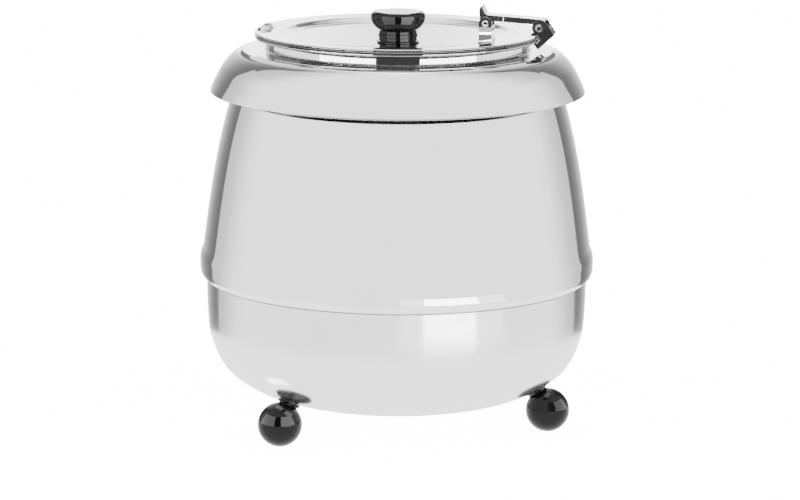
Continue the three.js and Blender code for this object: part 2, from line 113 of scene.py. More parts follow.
def spline(points, per=8):
    """A smooth curve through the points."""
    first = Vector(points[0]) * 2 - Vector(points[1])
    last = Vector(points[-1]) * 2 - Vector(points[-2])
    knots = [first, *map(Vector, points), last]
    out = []
    for p0, p1, p2, p3 in zip(knots, knots[1:], knots[2:], knots[3:]):
        for i in range(per):
            t = i / per
            bend = p0 * 2 - p1 * 5 + p2 * 4 - p3
            twist = p1 * 3 - p0 - p2 * 3 + p3
            out.append(tuple((p1 * 2 + (p2 - p0) * t + bend * t ** 2 + twist * t ** 3) / 2))
    return [*out, tuple(points[-1])]


def offset(outline, distance):
    """The outline moved to the left of its direction of travel."""
    out = []
    for i, (r, z) in enumerate(outline):
        before, after = outline[max(i - 1, 0)], outline[min(i + 1, len(outline) - 1)]
        dr, dz = after[0] - before[0], after[1] - before[1]
        length = math.hypot(dr, dz)
        if r == 0:
            out.append((0, z + math.copysign(distance, distance * dr)))
        else:
            out.append((r - dz / length * distance, z + dr / length * distance))
    return out


def softened(outline, radius=0.35, steps=3, closed=True):
    """The same outline with each sharp corner rounded."""
    out = []
    count = len(outline)
    for i, point in enumerate(outline):
        here = Vector(point)
        if here.x == 0 or (not closed and i in (0, count - 1)):
            out.append(tuple(point))
            continue
        back = Vector(outline[i - 1]) - here
        ahead = Vector(outline[(i + 1) % count]) - here
        turn = math.pi - back.angle(ahead, math.pi)
        if turn < math.radians(24):
            out.append(tuple(point))
            continue
        cut = min(radius * math.tan(turn / 2), 0.42 * back.length, 0.42 * ahead.length)
        start, end = here + back.normalized() * cut, here + ahead.normalized() * cut
        for k in range(steps + 1):
            t = k / steps
            out.append(tuple(start * (1 - t) ** 2 + here * 2 * t * (1 - t) + end * t ** 2))
    return out


# ---- meshes ----
def circle(sides):
    """The angles of evenly spaced points round a circle."""
    return [2 * math.pi * k / sides for k in range(sides)]


def vert(mesh, x, y, z):
    """A new vertex, placed in millimetres."""
    return mesh.verts.new((x * MM, y * MM, z * MM))


def object_from(mesh, name):
    data = bpy.data.meshes.new(name)
    mesh.to_mesh(data)
    mesh.free()
    piece = bpy.data.objects.new(name, data)
    bpy.context.scene.collection.objects.link(piece)
    return piece


def finished(mesh, name, sharp=50, bevel=0.0):
    """Turns a bmesh into an object with clean outward normals, and bevels its hard edges."""
    bmesh.ops.remove_doubles(mesh, verts=mesh.verts, dist=1e-7)
    bmesh.ops.recalc_face_normals(mesh, faces=mesh.faces)
    piece = object_from(mesh, name)
    if bevel:
        rounding = piece.modifiers.new("bevel", "BEVEL")
        rounding.width = bevel * MM
        rounding.segments = 3
        rounding.limit_method = "ANGLE"
        rounding.angle_limit = math.radians(35)
    piece.data.shade_smooth()
    piece.data.set_sharp_from_angle(angle=math.radians(sharp))
    weigh = piece.modifiers.new("normals", "WEIGHTED_NORMAL")
    weigh.keep_sharp = True
    weigh.weight = 80
    settled(piece)
    return piece


def settled(piece):
    """Applies every modifier on the piece."""
    bpy.context.view_layer.update()
    shaped = piece.evaluated_get(bpy.context.evaluated_depsgraph_get())
    final = bpy.data.meshes.new_from_object(shaped)
    piece.modifiers.clear()
    piece.data = final


def ring_points(mesh, radius, z, sides):
    if radius < 1e-6:
        return [vert(mesh, 0, 0, z)]
    return [vert(mesh, radius * math.cos(a), radius * math.sin(a), z) for a in circle(sides)]


def skin(mesh, rings, sides):
    """Faces between each ring and the next. A ring may be a single point."""
    for lower, upper in zip(rings, rings[1:]):
        for k in range(sides):
            places = ((lower, k), (lower, k + 1), (upper, k + 1), (upper, k))
            corners = list(dict.fromkeys(ring[j % sides % len(ring)] for ring, j in places))
            if len(corners) > 2:
                mesh.faces.new(corners)


def turned_mesh(outline, sides):
    mesh = bmesh.new()
    rings = [ring_points(mesh, r, z, sides) for r, z in outline]
    if outline[0][0] > 1e-6:
        rings.append(rings[0])
    skin(mesh, rings, sides)
    return mesh


def turned(name, outline, sides=SIDES, place=None, sharp=50):
    """A solid of revolution about Z, moved into its place."""
    mesh = turned_mesh(outline, sides)
    if place is not None:
        bmesh.ops.transform(mesh, matrix=place, verts=mesh.verts)
    return finished(mesh, name, sharp)


def pressed(outline, edge=0.45):
    """The closed outline of a sheet pressing, with rounded edges."""
    return softened([*outline, *offset(outline, SHEET)[::-1]], edge)


def plate_mesh(mesh, outline, y0, y1, holes=()):
    """Adds a flat plate with round holes to the mesh: its outline in x and z, its thickness along y."""
    edges = []
    loops = [outline, *(arc(x, z, r, 0, 345, 23) for x, z, r in holes)]
    for loop in loops:
        verts = [vert(mesh, x, y0, z) for x, z in loop]
        edges += [mesh.edges.new(pair) for pair in zip(verts, verts[1:] + verts[:1])]
    filled = bmesh.ops.triangle_fill(mesh, edges=edges, use_beauty=True)
    faces = [g for g in filled["geom"] if isinstance(g, bmesh.types.BMFace)]
    grown = bmesh.ops.extrude_face_region(mesh, geom=faces)
    moved = [g for g in grown["geom"] if isinstance(g, bmesh.types.BMVert)]
    bmesh.ops.translate(mesh, verts=moved, vec=(0, (y1 - y0) * MM, 0))


def plate(name, *parts):
    """One piece from several flat plates, joined, with every hard edge rounded."""
    pieces = []
    for part in parts:
        mesh = bmesh.new()
        plate_mesh(mesh, *part)
        bmesh.ops.recalc_face_normals(mesh, faces=mesh.faces)
        pieces.append(object_from(mesh, "part"))
    whole, *others = pieces
    for other in others:
        join = whole.modifiers.new("join", "BOOLEAN")
        join.operation = "UNION"
        join.solver = "EXACT"
        join.object = other
    settled(whole)
    for other in others:
        bpy.data.objects.remove(other)
    mesh = bmesh.new()
    mesh.from_mesh(whole.data)
    bpy.data.objects.remove(whole)
    bmesh.ops.dissolve_limit(mesh, angle_limit=math.radians(1), verts=mesh.verts, edges=mesh.edges)
    return finished(mesh, name, bevel=PLATE_BEVEL, sharp=60)


# ---- places ----
def around_z(degrees):
    return Matrix.Rotation(math.radians(degrees), 4, "Z")


def shifted(x, y, z):
    return Matrix.Translation((x * MM, y * MM, z * MM))


def through_wall(degrees, height, x=0.0):
    """+Z of this place leaves the housing through its wall."""
    return shifted(x, 0, 0) @ around_z(degrees) @ shifted(0, 0, height) @ Matrix.Rotation(math.pi / 2, 4, "Y")


def foot_place(k):
    """+Z of this place runs from a ball foot's centre up its stud."""
    lean = Matrix.Rotation(-math.radians(FOOT_TILT), 4, "Y")
    return around_z(FOOT_TURN - 120 * k) @ shifted(FOOT_RING_R, 0, BALL_R) @ lean


# ---- housing ----
BOWL = spline([
    (0, BOWL_BOTTOM_Z), (70, 27.5), (110, 30.5), (137, 40), (155, 53),
    (164, 66), (169.3, 80), (172, 92), (173.4, 113), (SEAM_R, SEAM_Z),
], 6)


def barrel_radius(z):
    up = z - BARREL_FOOT_Z
    return BARREL_FOOT_R - 0.13 * up - 3.05e-6 * up ** 3


def base_bowl():
    tuck = SEAM_R - 1.1
    ledge = [(tuck, SEAM_Z), (tuck, SEAM_Z + 9), (tuck - SHEET, SEAM_Z + 9), (tuck - SHEET, SEAM_Z - 2)]
    inside = offset(BOWL, SHEET)[:-2][::-1]
    return turned("base_bowl_shell", softened([*BOWL, *ledge, *inside], 0.5))


def barrel_shell():
    bead = spline([
        (SEAM_R + 0.4, SEAM_Z + 0.5), (176.6, 138.8), (178.6, 141.6), (179.7, 145.0), (BEAD_R - 0.05, 149),
        (BEAD_R, 153.5), (179.75, 157.6), (178.9, 161.2), (177.7, 164.3),
    ], 5)
    steps = 26
    heights = [BARREL_FOOT_Z + (BARREL_TOP_Z - BARREL_FOOT_Z) * i / steps for i in range(steps + 1)]
    wall = [(barrel_radius(z), z) for z in heights]
    return turned("barrel", pressed([*bead, *wall, (135.4, 344.7), (134.2, 344.9)]))


def collar():
    dome = spline([
        (LIP_R, LIP_Z), (168.6, 313.2), (164.4, 322), (158, 333), (148.7, 342.5), (140, DECK_Z - 0.4),
    ], 7)
    fillet = 1.8
    deck = [(136, DECK_Z - 0.05), (131, DECK_Z)]
    neck = arc(NECK_R + fillet, DECK_Z + fillet, fillet, 270, 180, 10)
    return turned("domed_collar", pressed([*dome, *deck, *neck, (NECK_R, NECK_TOP_Z)], 0.6))


def water_well():
    flange, corner = DECK_Z - SHEET - 0.6, 16
    outline = [
        (0, WELL_BOTTOM_Z),
        *arc(WELL_R - corner, WELL_BOTTOM_Z + corner, corner, 270, 360, 12),
        (WELL_R, flange - 5), (WELL_R + 1.4, flange - 2.6), (WELL_R + 4, flange - SHEET),
        (133.4, flange - SHEET),
    ]
    return turned("water_well_shell", pressed(outline))


# ---- pot and lid ----
def soup_pot():
    wall, floor = POT_R - SHEET, POT_BOTTOM_Z + SHEET
    outline = [
        (0, POT_BOTTOM_Z),
        *arc(POT_R - POT_CORNER, POT_BOTTOM_Z + POT_CORNER, POT_CORNER, 270, 360, 12),
        (POT_R, 352.6), (POT_R + 0.5, 354.6), (POT_R + 2.2, ROLL_Z - ROLL_THICK + 0.1),
        *arc(ROLL_R, ROLL_Z, ROLL_THICK, 270, 480, 22),
        (wall + 4, 358.4), (wall + 1.2, 357.4), (wall + 0.2, 355.2),
        *arc(POT_R - POT_CORNER, floor + POT_CORNER - SHEET, POT_CORNER - SHEET, 360, 270, 12),
        (0, floor),
    ]
    return turned("lift_out_pot", softened(outline, 0.6))


def smoothstep(value):
    value = max(0.0, min(1.0, value))
    return value * value * (3 - 2 * value)


def lid_surface(radius):
    """Height of the lid's upper face: a dished panel, a step and a ring that rises a little outwards."""
    ring = LID_STEP_Z + (radius - LID_STEP_R) / 18.6 * (LID_DECK_Z - LID_STEP_Z)
    dish = LID_CENTRE_Z + LID_DISH * radius ** 2
    blend = smoothstep((radius - LID_DISH_R + 0.8) / (LID_STEP_R - LID_DISH_R))
    return dish * (1 - blend) + ring * blend


def lid_contour():
    """The lid's edge seen from above, with the ladle notch on -X and the hinge slot on +X."""
    edge_r = LID_R - 0.75
    meet = math.degrees(math.acos((edge_r ** 2 + LADLE_X ** 2 - LADLE_R ** 2) / (2 * edge_r * -LADLE_X)))
    slot_turn = math.degrees(math.asin(SLOT_HALF / edge_r))
    slot_depth = edge_r * math.cos(math.radians(slot_turn)) - SLOT_X
    upper = [(SLOT_X, SLOT_HALF * k / 6) for k in range(7)]
    upper += [(SLOT_X + slot_depth * k / 5, SLOT_HALF) for k in range(1, 5)]
    upper += arc(0, 0, edge_r, slot_turn, 180 - meet, 150)
    start = math.degrees(math.atan2(upper[-1][1], upper[-1][0] - LADLE_X))
    upper += arc(LADLE_X, 0, LADLE_R, start, 0, 22)[1:]
    lower = [(x, -y) for x, y in upper[1:-1]][::-1]
    return [*upper, *lower]


def lid():
    """Rings from the centre to the edge, over the rolled edge, and back underneath."""
    contour = lid_contour()
    count = len(contour)
    turns = sorted(math.atan2(y, x) % (2 * math.pi) for x, y in contour)
    normals = []
    for i in range(count):
        (x0, y0), (x1, y1) = contour[i - 1], contour[(i + 1) % count]
        along = Vector((x1 - x0, y1 - y0)).normalized()
        normals.append(Vector((along.y, -along.x)))
    lifts = []
    for x, y in contour:
        on_notch = abs(math.hypot(x - LADLE_X, y) - LADLE_R) < 0.2
        fade = smoothstep((LID_R - 0.8 - math.hypot(x, y)) / 5)
        lifts.append(LADLE_LIFT * fade if on_notch else 0.0)

    inner = LID_STEP_R
    radii = [0, 8, 20, 34, 48, 62, 76, 88, 96, 100, 102.2, 103.2, 104.2, 105.2, 106.2, 107.2, 108.1, inner]
    near = [3.6, 2.8, 2.2, 1.7, 1.2, 0.8, 0.4, 0.0]

    heads = []                   # from the edge inwards, square to it where the notch's lip is raised
    for (x, y), turn, normal, lift in zip(contour, turns, normals, lifts):
        inwards = Vector((inner * math.cos(turn) - x, inner * math.sin(turn) - y)).normalized()
        heads.append(inwards.lerp(-normal, lift / LADLE_LIFT).normalized())

    def point(i, radius=None, share=None, left=None):
        start = Vector((math.cos(turns[i]), math.sin(turns[i])))
        if radius is not None:
            return radius * start.x, radius * start.y, lid_surface(radius)
        place = Vector(contour[i]) + heads[i] * (near[0] if left is None else left)
        if share is not None:
            place = (start * inner).lerp(place, share)
        lift = 0.0 if left is None else lifts[i] * smoothstep(1 - left / near[0])
        return place.x, place.y, lid_surface(place.length) + lift

    def face(drop):
        rows = [[point(i, radius=r) for i in range(count)] for r in radii]
        rows += [[point(i, share=k / 3) for i in range(count)] for k in (1, 2)]
        rows += [[point(i, left=d) for i in range(count)] for d in near]
        return [[(x, y, z - drop) for x, y, z in row] for row in rows]

    top, under = face(0.0), face(LID_THICK)
    hem, bulge = 0.8, 0.75
    rim = []
    for step in range(1, 8):
        angle = math.pi * step / 8
        out, down = bulge * math.sin(angle), hem - hem * math.cos(angle)
        rim.append([(x + n.x * out, y + n.y * out, z - down) for (x, y, z), n in zip(top[-1], normals)])
    mesh = bmesh.new()
    rings = []
    for row in [*top, *rim, *under[::-1]]:
        at_centre = abs(row[0][0]) < 1e-6 and abs(row[1][0]) < 1e-6
        rings.append([vert(mesh, x, y, z) for x, y, z in (row[:1] if at_centre else row)])
    skin(mesh, rings, count)
    return finished(mesh, "lid_pressing", sharp=60)


def lid_knob():
    """A wide, flattened bulb on a ribbed foot, recessed on top for its inlay."""
    foot = [
        (2.8, 352.5), (19.4, 352.5), (19.4, 353.6), (17.4, 354.3), (17.4, 357.0),
        (17.9, 357.4), (17.9, 360.2), (17.3, 360.7), (17.3, 363.0),
    ]
    bulb = spline([
        (17.7, 363.6), (20.0, 365.3), (22.4, 367.9), (24.1, 371), (24.85, 374),
        (24.9, 376.4), (24.3, 378.3), (23.1, 379.6), (21.7, 380.4),
    ], 5)
    top = [(21.0, 380.2), (20.8, 379.3), (0.0, 379.2), (0.0, 370), (2.8, 370)]
    return turned("knob", softened([*foot, *bulb, *top], 0.3), 128)


def knob_disc():
    rings = [(20.55, 379.6), (20.6, 380.3), (20.2, 380.6), (19.2, 380.7), (14, 380.95), (0, 381.15)]
    return turned("knob_inlay", softened([(0, 379.5), (20.4, 379.5), *rings], 0.2), 128)


# ---- double-pivot hinge ----
def beyond(pivot, angle, along, across):
    turn = math.radians(angle)
    return (pivot[0] + across * math.cos(turn) + along * math.sin(turn),
            pivot[1] + across * math.sin(turn) - along * math.cos(turn))


def hinge_arm():
    (rim_x, rim_z), (lid_x, lid_z) = RIM_PIVOT, LID_PIVOT
    back = [(77.2, 387.5), (77.9, 386.0), (79.0, 383.6), (80.2, 381.4), (82, 380.1), (85, 379.85),
            *arc(rim_x, rim_z, 7.9, 93, 52, 10)]
    web = [*back, *offset(back, -1.4)[::-1]]
    outline = [
        *back, *arc(rim_x, rim_z, 4.6, 20, -180, 16), (rim_x - 5.6, 371.4), (rim_x - 6.6, 372.4),
        (lid_x + 7.6, 374.6), (lid_x + 5.6, 373.9), *arc(lid_x, lid_z, 4.2, 10, -180, 16),
        (75.2, 378), (74.9, 384), (75.8, 387),
    ]
    holes = [(rim_x, rim_z, 2.25), (lid_x, lid_z, 2.25)]
    return plate(
        "double_pivot_arm",
        (web, -ARM_HALF, ARM_HALF),
        (outline, -ARM_HALF, SHEET - ARM_HALF, holes),
        (outline, ARM_HALF - SHEET, ARM_HALF, holes),
    )


def rim_bracket():
    lean = 33.5
    cheek = [
        *arc(130, 369.8, 7, 200, lean, 18),
        (142.9, 363), (128.5, 349.8), (124.1, 355.5), (130.3, 355.5), (130.3, 361.3), (126.4, 361.3),
    ]
    hole = [(*RIM_PIVOT, PIN_R + 0.3)]
    web = [beyond(RIM_PIVOT, lean, a, b) for a, b in ((5.6, 7.8), (12.4, 7.8), (12.4, 6.4), (5.6, 6.4))]
    return plate(
        "rim_hinge_bracket",
        (cheek, -CHEEK_OUT, -CHEEK_IN, hole),
        (cheek, CHEEK_IN, CHEEK_OUT, hole),
        (web, -CHEEK_OUT, CHEEK_OUT),
    )


def lid_bracket():
    x, z = LID_PIVOT
    half = 5.9
    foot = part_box("lid_bracket")[1].y / MM
    left, right = lid_surface(x - half) + 0.3, lid_surface(x + half) + 0.3
    cheek = [(x - half, left), (x + half, right), *arc(x, z, half, 0, 180, 20)]
    hole = [(x, z, PIN_R + 0.3)]
    sole = [(x - half, left), (x + half, right), (x + half, right + 1.2), (x - half, left + 1.2)]
    back = [(x + half - SHEET, right), (x + half, right), (x + half, 369.5), (x + half - SHEET, 369.5)]
    return plate(
        "lid_hinge_bracket",
        (cheek, -CHEEK_OUT, -CHEEK_IN, hole),
        (cheek, CHEEK_IN, CHEEK_OUT, hole),
        (back, -CHEEK_OUT, CHEEK_OUT),
        (sole, -foot, -CHEEK_IN),
        (sole, CHEEK_IN, foot),
    )


def hinge_pin(name, pivot, head_r, dome_r):
    face = CHEEK_OUT + 0.3
    head = [
        (PIN_R, 0), (head_r, 0), (head_r, 0.6), (dome_r + 0.3, 0.75), (dome_r, 0.95),
        (dome_r * 0.86, 1.4), (dome_r * 0.55, 1.68), (0, 1.7),
    ]
    half = [(r, face + out) for r, out in head]
    outline = [(r, -s) for r, s in half[::-1]] + half
    place = shifted(pivot[0], 0, pivot[1]) @ Matrix.Rotation(-math.pi / 2, 4, "X")
    return turned(name, softened(outline, 0.18, 2), 48, place)


# ---- feet ----
def ball_foot(k):
    """A moulded ball with a parting line round its middle, a short neck and a flat pad underneath."""
    neck_r, neck_top, bore_r, bore_end = 8.7, 19.0, 3.3, 5.7
    start = math.degrees(math.acos(neck_r / BALL_R))
    ball = []
    for r, z in arc(0, 0, BALL_R, -90, start, 74):
        groove = 0.09 * math.exp(-((z - 0.6) / 0.28) ** 2)
        ball.append((max(r * (1 - groove / BALL_R), 0.0) if r > 1e-6 else 0.0, z))
    outline = [*ball, (neck_r, neck_top), (bore_r, neck_top), (bore_r, bore_end), (0, bore_end)]
    mesh = turned_mesh(softened(outline, 0.4), 96)
    bmesh.ops.transform(mesh, matrix=foot_place(k), verts=mesh.verts)
    for vert in mesh.verts:
        vert.co.z = max(vert.co.z, 0.0)
    return finished(mesh, f"ball_{k + 1}")


def foot_saucer(k):
    """A dished washer between the ball's neck and the bowl, its upper face following the bowl's curve."""
    sides, seat, rim, lip, bore = 96, 19.4, 10.4, 0.15, 3.4
    place = foot_place(k)
    up = (place.to_3x3() @ Vector((0, 0, 1))).normalized()

    def ring(radius, z):
        r = radius * MM
        return [place @ Vector((r * math.cos(a), r * math.sin(a), z * MM)) for a in circle(sides)]

    skirt = [(bore, seat), (9.0, seat), (9.7, 19.45), (10.15, 19.65), (10.35, 20.0)]
    rows = [ring(r, z) for r, z in skirt]
    for radius in (rim, 10.2, 9.4, 7, bore):
        drop = lip * MM if radius == rim else 0.0
        rows.append([base + up * (reach(base, up) - drop) for base in ring(radius, seat)])
    mesh = bmesh.new()
    rows = [[mesh.verts.new(p) for p in row] for row in rows]
    skin(mesh, [*rows, rows[0]], sides)
    return finished(mesh, f"saucer_{k + 1}")


def on_bowl(value, known, wanted):
    """A point of the bowl's outer face: its radius (0) or its height (1), found from the other of the two."""
    for a, b in zip(BOWL, BOWL[1:]):
        if a[known] <= value <= b[known]:
            share = (value - a[known]) / max(b[known] - a[known], 1e-6)
            return a[wanted] + (b[wanted] - a[wanted]) * share
    return BOWL[-1][wanted]


def reach(base, up):
    """How far a line from the base runs before it is just short of the bowl."""
    low, high = 0.0, 16 * MM
    for _ in range(30):
        middle = (low + high) / 2
        p = base + up * middle
        outside = p.z < (on_bowl(math.hypot(p.x, p.y) / MM, 0, 1) - CLEAR) * MM
        low, high = (middle, high) if outside else (low, middle)
    return low


def foot_nut(k):
    return nut(f"foot_nut_piece_{k + 1}", 3.0, 6.4, 24.6, 29.6, foot_place(k))


def hexagon(angle, flat):
    """Distance from the middle of a hexagon to its edge, where the flats lie at the given distance."""
    return flat / math.cos((angle % (math.pi / 3)) - math.pi / 6)


def nut(name, thread, corner, low, high, place=None):
    """A six-sided nut with chamfered corners and a round, threaded hole."""
    sides, chamfer, turns, groove = 96, corner * 0.16, 6, 0.16
    steps = [(corner * 0.89, 0.0), (corner * 0.955, 0.35), (corner, 0.85)]
    heights = [(low + d * chamfer, r) for r, d in steps] + [(high - d * chamfer, r) for r, d in steps[::-1]]
    mesh = bmesh.new()
    rows = []
    for z, outer in heights:
        radii = [(a, min(hexagon(a, corner * math.cos(math.pi / 6)), outer)) for a in circle(sides)]
        rows.append([vert(mesh, r * math.cos(a), r * math.sin(a), z) for a, r in radii])
    hole, mouth = thread + 0.3, 0.5
    step = (high - low - 2 * mouth) / (2 * turns)
    inside = [(hole + mouth, high), (hole, high - mouth)]
    inside += [(hole - groove * (i % 2), high - mouth - step * i) for i in range(2 * turns + 1)]
    inside += [(hole + mouth, low)]
    rows += [ring_points(mesh, r, z, sides) for r, z in inside]
    skin(mesh, [*rows, rows[0]], sides)
    if place is not None:
        bmesh.ops.transform(mesh, matrix=place, verts=mesh.verts)
    return finished(mesh, name, sharp=30)


# ---- underside fixing ----
def span(node):
    """The lowest and highest z of a CAD node, in millimetres."""
    return [corner.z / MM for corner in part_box(node)]


def centre_stud():
    """The stud that draws the base bowl up to the water well, threaded where the nut runs."""
    bottom, top = span("centre_stud")
    pitch, thread = 1.25, 14
    outline = [(0, bottom), (3.2, bottom), (3.6, bottom + 0.5)]
    for i in range(thread):
        z = bottom + 0.8 + pitch * i
        outline += [(3.55, z), (3.98, z + pitch * 0.5)]
    outline += [(3.98, bottom + 0.8 + pitch * thread), (3.98, top - 0.3), (3.6, top), (0, top)]
    return turned("centre_stud_piece", outline, 40, sharp=30)


def centre_washer():
    z0, z1 = span("centre_washer")
    return turned("centre_washer_piece", softened([(4.3, z0), (12, z0), (12, z1), (4.3, z1)], 0.3), 72)


def foot_stud(k):
    bottom, top, pitch = 6.0, 33.0, 1.0
    outline = [(0, bottom), (2.9, bottom)]
    for i in range(26):
        z = bottom + 0.2 + pitch * i
        outline += [(2.62, z), (2.98, z + pitch * 0.5)]
    outline += [(2.6, top - 0.3), (2.2, top), (0, top)]
    return turned(f"foot_stud_piece_{k + 1}", outline, 32, foot_place(k), sharp=30)


# ---- controls on the far side ----
def wall_y(x, z):
    """Distance from the axis plane to the bowl's face, at x and z in millimetres."""
    return math.sqrt(on_bowl(z, 1, 0) ** 2 - x ** 2)


def y_ring(mesh, x, z, y, sides, radius_at):
    """A ring round an axis along +Y, with a radius for each angle. A y of None stands for the bowl's face."""
    ring = []
    for a in circle(sides):
        radius = radius_at(a)
        px, pz = x + radius * math.cos(a), z + radius * math.sin(a)
        ring.append(vert(mesh, px, wall_y(px, pz) + CLEAR if y is None else y, pz))
    return ring


def dial_plate():
    """A raised round plate round the knob, with a turned groove; its tick marks are made by tick_marks."""
    sides, face = 120, DIAL_FACE_Y
    profile = [
        (4.6, None), (22.6, None), (23.0, 173.2), (23.0, 175.4), (22.7, 176.0), (22.2, face), (19.9, face),
        (19.6, face - 0.25), (19.3, face), (4.8, face), (4.6, face - 0.2),
    ]
    mesh = bmesh.new()
    rows = [y_ring(mesh, 0, DIAL_Z, y, sides, lambda a: radius) for radius, y in profile]
    skin(mesh, [*rows, rows[0]], sides)
    return finished(mesh, "dial_plate_piece", sharp=40)


def tick_marks():
    """Raised marks round the dial, longer at each quarter of its travel."""
    mesh = bmesh.new()
    steps, travel, start, ring_r = 27, 270, -45, 21.1
    for i in range(steps + 1):
        turn = Matrix.Rotation(math.radians(start + travel * i / steps), 4, "Y")
        place = shifted(0, DIAL_FACE_Y, DIAL_Z) @ turn @ shifted(0, 0, ring_r)
        size = (0.45, 0.16, 2.2 if i % 9 == 0 else 1.1)
        scale = Matrix.Diagonal((*(s * MM for s in size), 1))
        bmesh.ops.create_cube(mesh, size=1, matrix=place @ scale)
    return finished(mesh, "dial_marks")


def dial_knob():
    """A skirted dial with a fluted rim; its bar grip is made by dial_grip."""
    sides, flutes, flute_depth, fluted_from = 180, 30, 0.28, 17
    centre_y, bore_y = 181.05, 178.6
    profile = [
        (3.4, 177.1), (18.2, 177.1), (18.8, 177.5), (19.0, 178.2), (18.6, 178.9), (16.4, 180.2),
        (15.4, 180.8), (12.0, 181.0),
    ]
    mesh = bmesh.new()
    rows = []
    for radius, y in profile:
        depth = flute_depth if radius > fluted_from else 0.0
        rows.append(y_ring(
            mesh, 0, DIAL_Z, y, sides, lambda a: radius - depth * max(0.0, math.cos(flutes * a))))
    skin(mesh, [*rows, [vert(mesh, 0, centre_y, DIAL_Z)]], sides)
    bore = [mesh.verts.new((v.co.x, bore_y * MM, v.co.z)) for v in rows[0]]
    skin(mesh, [bore, rows[0]], sides)
    mesh.faces.new(bore)
    return finished(mesh, "dial_knob_piece", sharp=45)


def dial_grip():
    """The bar across the dial, narrower at its top; the pale pointer line let into one end is made by
    dial_pointer.
    """
    half_x, half_z = 2.6, 14
    corners = [(-1, -1), (1, -1), (1, 1), (-1, 1)]
    mesh = bmesh.new()
    rows = []
    for inset, y in ((-0.6, 180.4), (0.0, 181.4), (0.15, 183.2), (0.5, 183.8), (1.0, 184.0)):
        rows.append([vert(mesh, x * (half_x - inset), y, DIAL_Z + z * (half_z - inset)) for x, z in corners])
    skin(mesh, rows, len(corners))
    mesh.faces.new(rows[0][::-1])
    mesh.faces.new(rows[-1])
    return finished(mesh, "dial_grip", bevel=0.45)


def dial_pointer():
    mesh = bmesh.new()
    place = shifted(0, 183.875, DIAL_Z + 8.3) @ Matrix.Diagonal((0.7 * MM, 0.25 * MM, 8.6 * MM, 1))
    bmesh.ops.create_cube(mesh, size=1, matrix=place)
    return finished(mesh, "dial_pointer", bevel=0.08)


def pilot_lamp():
    outline = softened([
        (0, 172), (6.1, 172), (6.1, 174.6), (7.4, 174.6), (7.4, 175.3), (6.4, 175.8),
        (5.6, 175.9), (5.2, 176.5), (4.0, 177.05), (2.0, 177.35), (0, 177.4),
    ], 0.2)
    return turned("pilot_lamp_piece", outline, 72, through_wall(LAMP_TURN, DIAL_Z))


def cord_gland():
    """A gland with a six-sided flange, a ribbed cap and a clear bore for the lead."""
    sides, tip, flat, rib_count, rib = 120, 180.0, 10.6, 24, 0.35
    mesh = bmesh.new()

    def plain(radius):
        return lambda a: radius

    def hexed(radius):
        return lambda a: min(radius, hexagon(a, flat))

    def ribbed(radius):
        return lambda a: radius - rib * max(0.0, math.cos(rib_count * a))

    rows = [y_ring(mesh, GLAND_X, GLAND_Z, y, sides, shape(radius)) for shape, radius, y in (
        (plain, 4.6, 148.2), (plain, 7.4, 148.0), (plain, 7.8, 148.4), (plain, 7.8, None),
        (hexed, 11.3, None), (hexed, 11.5, 169.6), (hexed, 11.5, 170.9), (hexed, 11.0, 171.5),
        (plain, 9.3, 171.7), (ribbed, 9.2, 172.4), (ribbed, 8.3, 178.4), (plain, 7.8, 179.3),
        (plain, 6.9, 179.9), (plain, 5.4, tip), (plain, 4.75, tip - 0.3), (plain, 4.6, tip - 0.9),
    )]
    skin(mesh, [*rows, rows[0]], sides)
    return finished(mesh, "cord_gland_piece", sharp=40)


# ---- materials ----
def fill(links, node, values):
    """Sets or links the node's sockets, in order."""
    for socket, value in zip(node.inputs, values):
        if isinstance(value, (int, float)):
            socket.default_value = value
        else:
            links.new(value, socket)


def calculated(nodes, links, operation, *values):
    node = nodes.new("ShaderNodeMath")
    node.operation = operation
    fill(links, node, values)
    return node.outputs[0]


